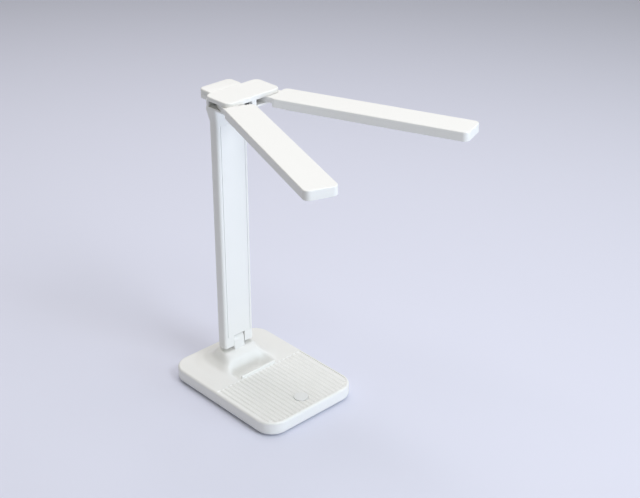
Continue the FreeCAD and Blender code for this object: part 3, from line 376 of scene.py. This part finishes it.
rim_points = ring(top_edge)
hole_points = circle(key_y, key_hole, hole_steps)
flat_x, flat_y = grid_x.ravel(), grid_y.ravel()
rim_distance = to_round_rectangle(
    flat_x, flat_y, -base_half.x, base_half.x, -base_half.y, base_half.y, base_corner
)
kept = rim_distance < -top_edge - rim_gap
kept &= np.abs(np.hypot(flat_x, flat_y - key_y) - key_hole) > hole_gap
kept &= np.abs(to_deck(flat_x, flat_y) + deck_bank / 2) > bank_gap
sites = rim_points + hole_points
loops = [(0, len(rim_points)), (len(rim_points), len(sites))]
for inset in (0, deck_bank):
    start = len(sites)
    front_ring = [p for p in ring(rib_margin + inset) if p.y < rib_back - inset - ring_gap]
    front_ring = sorted(front_ring, key=lambda p: math.atan2(p.x, -(p.y + fan_middle)))
    back = rib_back - inset
    half = base_half.x - rib_margin - inset
    count = int(2 * half / outline_step)
    back_line = [Vector((half - 2 * half * index / count, back)) for index in range(count + 1)]
    sites += front_ring + back_line
    loops.append((start, len(sites)))
edges = [
    (index, index + 1 if index + 1 < last else first)
    for first, last in loops for index in range(first, last)
]
sites += [Vector((x, y)) for x, y in zip(flat_x[kept], flat_y[kept])]
spots, _, triangles, _, _, _ = delaunay_2d_cdt(sites, edges, [], 0, weld)
spots = np.array([tuple(spot) for spot in spots])
middles = spots[np.array(triangles)].mean(axis=1)
triangles = [t for t, m in zip(triangles, middles) if math.hypot(m[0], m[1] - key_y) > key_hole]
heights = top_height(spots[:, 0], spots[:, 1])

cover = bmesh.new()
upper = [cover.verts.new((x, y, z)) for (x, y), z in zip(spots, heights)]
lower = [cover.verts.new((x, y, z - wall)) for (x, y), z in zip(spots, heights)]
for a, b, c in triangles:
    cover.faces.new((upper[a], upper[b], upper[c]))
    cover.faces.new((lower[c], lower[b], lower[a]))
rim_order, hole_order = [
    [int(np.argmin(np.hypot(spots[:, 0] - p.x, spots[:, 1] - p.y))) for p in points]
    for points in (rim_points, hole_points)
]
rings = [[cover.verts.new((p.x, p.y, height)) for p in ring(inset)] for inset, height in skirt[:-1]]
rings.append([upper[index] for index in rim_order])
inner_top = [lower[index] for index in rim_order]
rings.insert(0, inner_top)
for below, above in zip(rings, rings[1:]):
    for index in range(len(below)):
        after = (index + 1) % len(below)
        cover.faces.new((below[index], below[after], above[after], above[index]))
for index, here in enumerate(hole_order):
    after = hole_order[(index + 1) % len(hole_order)]
    cover.faces.new((upper[here], upper[after], lower[after], lower[here]))
loose = [vert for vert in cover.verts if not vert.link_faces]
bmesh.ops.delete(cover, geom=loose, context="VERTS")
bmesh.ops.recalc_face_normals(cover, faces=cover.faces)


def new_piece(name, mesh, body, slot_name, material, *nodes):
    """Puts a finished mesh on its body, in place of the nodes that it stands for."""
    mesh.name = name
    mesh.materials.clear()
    mesh.materials.append(material)
    piece = bpy.data.objects.new(name, mesh)
    bpy.context.scene.collection.objects.link(piece)
    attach(piece, body)
    if nodes:
        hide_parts(*nodes)
    return piece


def smooth(mesh, angle):
    """Smooth shading, with the edges sharper than the angle kept crisp."""
    mesh.polygons.foreach_set("use_smooth", [True] * len(mesh.polygons))
    mesh.set_sharp_from_angle(angle=math.radians(angle))


mesh = bpy.data.meshes.new("base_skin")
cover.to_mesh(mesh)
cover.free()
smooth(mesh, angle=35)
new_piece("base_skin", mesh, "base", "white_abs", white_abs, "base_cover")


# ---- ribs ---------------------------------------------------------------------------------------
# Low crowned ribs moulded along the tray, so that a phone or pen can't stick to it.
# They follow the round front corners and stop round the touch key.

rib_pitch = 5.2 * mm
rib_width = 3.75 * mm
rib_count = 2 * int((base_half.x - rib_margin) / rib_pitch) + 1
rib_sides = 28
rib_spread = 1.12                                 # the oval is wider than the rib that shows
rib_root = 2.0                                    # its middle lies this many rib heights down
punch_depth = 20 * mm

tree = bpy.data.node_groups.new("ribs", "GeometryNodeTree")
sizes = (
    ("Count", "NodeSocketInt", rib_count),
    ("Pitch", "NodeSocketFloat", rib_pitch),
    ("Rib Width", "NodeSocketFloat", rib_width),
    ("Rib Height", "NodeSocketFloat", deck_drop),
    ("Top", "NodeSocketFloat", base_top),
    ("Back", "NodeSocketFloat", rib_back - deck_bank),
    ("Corner Middle X", "NodeSocketFloat", base_half.x - base_corner),
    ("Corner Middle Y", "NodeSocketFloat", base_half.y - base_corner),
    ("Corner Radius", "NodeSocketFloat", base_corner - rib_margin - deck_bank),
    ("Key Place", "NodeSocketFloat", key_y),
    ("Key Radius", "NodeSocketFloat", key_hole),
    ("Material", "NodeSocketMaterial", white_abs),
)
tree.interface.new_socket("Geometry", in_out="OUTPUT", socket_type="NodeSocketGeometry")
for name, kind, _ in sizes:
    tree.interface.new_socket(name, in_out="INPUT", socket_type=kind)
given = add_node(tree, "NodeGroupInput").outputs
place = add_node(tree, "GeometryNodeInputPosition").outputs[0]

# The ribs' arithmetic, a step a row: its name, its operation, then numbers, given sizes or earlier steps
worked = {socket.name: socket for socket in given}
worked["across"] = add_node(tree, "ShaderNodeSeparateXYZ", inputs=[place]).outputs["X"]
for name, operation, *values in (
    ("spaces", "SUBTRACT", "Count", 1.0),
    ("row", "MULTIPLY", "spaces", "Pitch"),
    ("row start", "MULTIPLY", "row", -0.5),
    ("half rib", "MULTIPLY", "Rib Width", 0.5),
    ("side", "ABSOLUTE", "across"),
    ("rib edge", "ADD", "side", "half rib"),
    ("past corner", "SUBTRACT", "rib edge", "Corner Middle X"),
    ("beyond", "MAXIMUM", "past corner", 0.0),
    ("radius squared", "POWER", "Corner Radius", 2.0),
    ("beyond squared", "POWER", "beyond", 2.0),
    ("square", "SUBTRACT", "radius squared", "beyond squared"),
    ("kept square", "MAXIMUM", "square", 0.0),
    ("bend", "SQRT", "kept square"),
    ("reach", "ADD", "Corner Middle Y", "bend"),
    ("front", "MULTIPLY", "reach", -1.0),
    ("length", "SUBTRACT", "Back", "front"),
    ("fits", "GREATER_THAN", "square", 0.0),
    ("crown", "MULTIPLY", "Rib Height", rib_root),
    ("oval half", "MULTIPLY", "half rib", rib_spread),
    ("axis height", "SUBTRACT", "Top", "crown"),
):
    values = [worked.get(value, value) for value in values]
    worked[name] = add_node(tree, "ShaderNodeMath", {"operation": operation}, values).outputs[0]

start = add_node(tree, "ShaderNodeCombineXYZ", X=worked["row start"])
offset = add_node(tree, "ShaderNodeCombineXYZ", X=given["Pitch"])
line = add_node(tree, "GeometryNodeMeshLine", Count=given["Count"], Start_Location=start.outputs[0],
                Offset=offset.outputs[0])
front_place = add_node(tree, "ShaderNodeCombineXYZ", X=worked["across"], Y=worked["front"])
placed = add_node(tree, "GeometryNodeSetPosition", Geometry=line.outputs[0], Position=front_place.outputs[0])

oval = add_node(tree, "GeometryNodeCurvePrimitiveCircle", Resolution=rib_sides, Radius=1.0)
oval_size = add_node(tree, "ShaderNodeCombineXYZ", X=worked["oval half"], Y=worked["crown"])
section = add_node(tree, "GeometryNodeTransform", Geometry=oval.outputs[0], Scale=oval_size.outputs[0])
unit = add_node(tree, "GeometryNodeCurvePrimitiveLine", Start=(0, 0, 0), End=(0, 1, 0))
bar = add_node(tree, "GeometryNodeCurveToMesh", Curve=unit.outputs[0], Profile_Curve=section.outputs[0],
               Fill_Caps=True)
rib_size = add_node(tree, "ShaderNodeCombineXYZ", X=1.0, Y=worked["length"], Z=1.0)
ribs = add_node(tree, "GeometryNodeInstanceOnPoints", Points=placed.outputs[0], Instance=bar.outputs[0],
                Selection=worked["fits"], Scale=rib_size.outputs[0])
solid = add_node(tree, "GeometryNodeRealizeInstances", Geometry=ribs.outputs[0])
sunk = add_node(tree, "ShaderNodeCombineXYZ", Z=worked["axis height"])
raised = add_node(tree, "GeometryNodeTransform", Geometry=solid.outputs[0], Translation=sunk.outputs[0])
punch = add_node(tree, "GeometryNodeMeshCylinder", Vertices=hole_steps, Radius=given["Key Radius"],
                 Depth=punch_depth)
punch_place = add_node(tree, "ShaderNodeCombineXYZ", Y=given["Key Place"], Z=given["Top"])
punch = add_node(tree, "GeometryNodeTransform", Geometry=punch.outputs[0], Translation=punch_place.outputs[0])
cut = add_node(tree, "GeometryNodeMeshBoolean", {"operation": "DIFFERENCE"})
tree.links.new(raised.outputs[0], cut.inputs[0])
tree.links.new(punch.outputs[0], cut.inputs[1])
painted = add_node(tree, "GeometryNodeSetMaterial", Geometry=cut.outputs[0], Material=given["Material"])
add_node(tree, "NodeGroupOutput", inputs=[painted.outputs[0]])


def grown(tree, sizes):
    """Mesh that a node tree makes with these sizes."""
    seed = bpy.data.objects.new("seed", bpy.data.meshes.new("seed"))
    bpy.context.scene.collection.objects.link(seed)
    modifier = seed.modifiers.new("tree", "NODES")
    modifier.node_group = tree
    sockets = {item.name: item.identifier for item in tree.interface.items_tree if item.in_out == "INPUT"}
    for name, _, value in sizes:
        modifier[sockets[name]] = value
    seed.update_tag()
    view = bpy.context.evaluated_depsgraph_get()
    mesh = bpy.data.meshes.new_from_object(seed.evaluated_get(view), depsgraph=view)
    bpy.data.objects.remove(seed)
    return mesh


mesh = grown(tree, sizes)
smooth(mesh, angle=50)
new_piece("base_ribs", mesh, "base", "white_abs", white_abs)


# ---- lip and hinge tongue -----------------------------------------------------------------------
# Two small forms of the same moulding: the straight lip that a phone leans on, and the round-topped
# tongue that carries the column's hinge pin.

def bar_along_x(points, x_low, x_high):
    """Closed bar whose outline in Y and Z runs through the points."""
    built = bmesh.new()
    near = [built.verts.new((x_low, y, z)) for y, z in points]
    built.faces.new(near)
    found = bmesh.ops.extrude_face_region(built, geom=built.faces[:])["geom"]
    for item in found:
        if isinstance(item, bmesh.types.BMVert):
            item.co.x = x_high
    bmesh.ops.recalc_face_normals(built, faces=built.faces)
    return built


def bevelled(built, width, segments, angle=30):
    """Rounds every edge of a bmesh that is sharper than the angle."""
    sharp = [e for e in built.edges if len(e.link_faces) == 2 and e.calc_face_angle(0) > math.radians(angle)]
    bmesh.ops.bevel(built, geom=sharp, offset=width, offset_type="OFFSET", segments=segments, profile=0.5,
                    affect="EDGES", clamp_overlap=True)
    return built


def made(built, name, body, slot_name, material, *nodes, crisp=40):
    """Turns a bmesh into a finished piece."""
    mesh = bpy.data.meshes.new(name)
    built.to_mesh(mesh)
    built.free()
    smooth(mesh, crisp)
    return new_piece(name, mesh, body, slot_name, material, *nodes)


lip_half = 23.2 * mm
lip_rise = 2.8 * mm
lip_round = 1.2 * mm
lip_top = base_top + lip_rise
lip_foot = scoop_floor - wall
lip_points = [(lip_front, lip_foot), (lip_back, lip_foot), (lip_back, lip_top), (lip_front, lip_top)]
lip = bevelled(bar_along_x(lip_points, -lip_half, lip_half), lip_round, segments=6)
made(lip, "base_lip", "base", "white_abs", white_abs)

tongue_half = 6.9 * mm
tongue_radius = 7.2 * mm
tongue_steps = 24
tongue_round = 0.4 * mm
slope_drop = 4.6 * mm
slope_run = 1.5 * mm
tilt_z = (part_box("tilt_pin")[0].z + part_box("tilt_pin")[1].z) / 2
tongue_foot = mound_top - wall
arc = []
for index in range(tongue_steps + 1):
    turn = math.pi * index / tongue_steps
    arc.append((column_middle + tongue_radius * math.cos(turn), tilt_z + tongue_radius * math.sin(turn)))
front_y = column_middle - tongue_radius
slope = [(front_y, tilt_z - slope_drop), (front_y - slope_run, tongue_foot)]
tongue_points = arc + slope + [(column_middle + tongue_radius, tongue_foot)]
tongue = bevelled(bar_along_x(tongue_points, -tongue_half, tongue_half), tongue_round, segments=3)
made(tongue, "base_tongue", "base", "white_abs", white_abs)


# ---- head rear cover ----------------------------------------------------------------------------
# Rounded ABS lid over the wires behind the head's plate.  Its top dips towards the plate, and two of
# the head's five screws hold it from below.

hinge_y = (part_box("head_hinge_pin")[0].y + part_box("head_hinge_pin")[1].y) / 2
hinge_z = (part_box("head_hinge_pin")[0].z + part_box("head_hinge_pin")[1].z) / 2
head_points_up = 0.7                              # degrees
head_lift = Matrix.Rotation(math.radians(-head_points_up), 4, "X")
to_head = Matrix.Translation((0, hinge_y, hinge_z)) @ head_lift @ Matrix.Translation((0, -hinge_y, -hinge_z))

head_rear = hinge_y - 2.8 * mm
head_bottom = hinge_z + 3.75 * mm
lid_half = 19.7 * mm
lid_front = head_rear + 0.2 * mm
lid_rear = head_rear + 25.8 * mm
lid_low = head_bottom + 5.0 * mm
lid_top = head_bottom + 9.4 * mm
lid_dip = 1.6 * mm
dip_length = 11 * mm
dip_steps = 8
lid_corner = 6.0 * mm
lid_edge = 1.7 * mm
slack = 1e-6                                      # for finding edges by their place

dip_points = []
for index in range(dip_steps + 1):
    share = index / dip_steps
    drop = lid_dip * (1 - math.cos(math.pi * share)) / 2
    dip_points.append((lid_front + dip_length * (1 - share), lid_top - drop))
lid_points = [(lid_front, lid_low), (lid_rear, lid_low), (lid_rear, lid_top)] + dip_points
lid = bar_along_x(lid_points, -lid_half, lid_half)


def edges_where(built, test):
    """Edges whose two ends pass the test."""
    return [edge for edge in built.edges if test(*(vert.co for vert in edge.verts))]


def is_rear_corner(a, b):
    return abs(a.y - lid_rear) < slack and abs(b.y - lid_rear) < slack and a.x == b.x


def is_rim(a, b):
    """Upper edges along both sides and round the rear."""
    along_side = abs(abs(a.x) - lid_half) < slack and abs(abs(b.x) - lid_half) < slack and a.x * b.x > 0
    at_rear = min(a.y, b.y) > lid_rear - lid_corner - slack
    on_top = min(a.z, b.z) > lid_top - lid_dip - slack and max(a.y, b.y) > lid_front + slack
    return on_top and (along_side or at_rear)


bmesh.ops.bevel(lid, geom=edges_where(lid, is_rear_corner), offset=lid_corner, offset_type="OFFSET",
                segments=10, profile=0.5, affect="EDGES")
rim = edges_where(lid, is_rim)
bmesh.ops.bevel(lid, geom=rim, offset=lid_edge, offset_type="OFFSET", segments=5, profile=0.5, affect="EDGES")
lid.transform(to_head)
made(lid, "head_lid", "head", "white_abs", white_abs, "head_rear_cover")


# ---- plain nodes' finishes ----------------------------------------------------------------------
# The column, bars, head plates and inner pieces keep their modelled shape.  They take the finish of the
# real material: moulded ABS, opal acrylic, rubber, plated steel, nylon, foil or lacquered board.

def plain_finish(name, colour, roughness, metallic=0.0, ior=1.5):
    material, tree = new_material(name)
    shader = add_node(tree, "ShaderNodeBsdfPrincipled", Base_Color=linear(colour), Roughness=roughness,
                      Metallic=metallic, IOR=ior)
    add_node(tree, "ShaderNodeOutputMaterial", Surface=shader.outputs[0])
    return material


finishes = {
    "white_abs": white_abs,
    # Polished a little more than the covers, so it shines as one flat spot
    "key_abs": plain_finish("key_abs_satin", "EDEEEE", 0.36, ior=1.53),
    # Milky, with a broad soft highlight
    "opal_acrylic": plain_finish("opal_acrylic_frosted", "F2F3F0", 0.30, ior=1.49),
    # Dull, with no highlight
    "grip_rubber": plain_finish("grip_rubber_grey", "C9C9C8", 0.85),
    # Bright grey metal with a blurred reflection
    "plated_steel": plain_finish("zinc_plated_steel", "B9BBBE", 0.32, 1.0),
    # Duller foil of the pouch
    "cell_foil": plain_finish("aluminium_foil_pouch", "C2C4C7", 0.4, 1.0),
    # Dark green lacquer with a clear sheen
    "circuit_board": plain_finish("solder_mask_green", "1D5A33", 0.35),
    # White lacquer on the metal board
    "led_aluminium": plain_finish("solder_mask_white", "F0F0EC", 0.4),
    # Yellow, nearly matt
    "led_phosphor": plain_finish("led_phosphor", "E6C85A", 0.5),
    # Ivory and slightly waxy
    "nylon": plain_finish("natural_nylon", "E3E0D6", 0.45),
    # Red, with a soft sheen
    "wire_pvc": plain_finish("red_pvc", "B01C17", 0.45),
}
for row in frame["record"]["subparts"]:
    node = frame["nodes"][row["node"]]
    for slot in node.material_slots:
        slot.material = finishes[row["material_slot"]]

bpy.context.scene.view_settings.view_transform = "Standard"
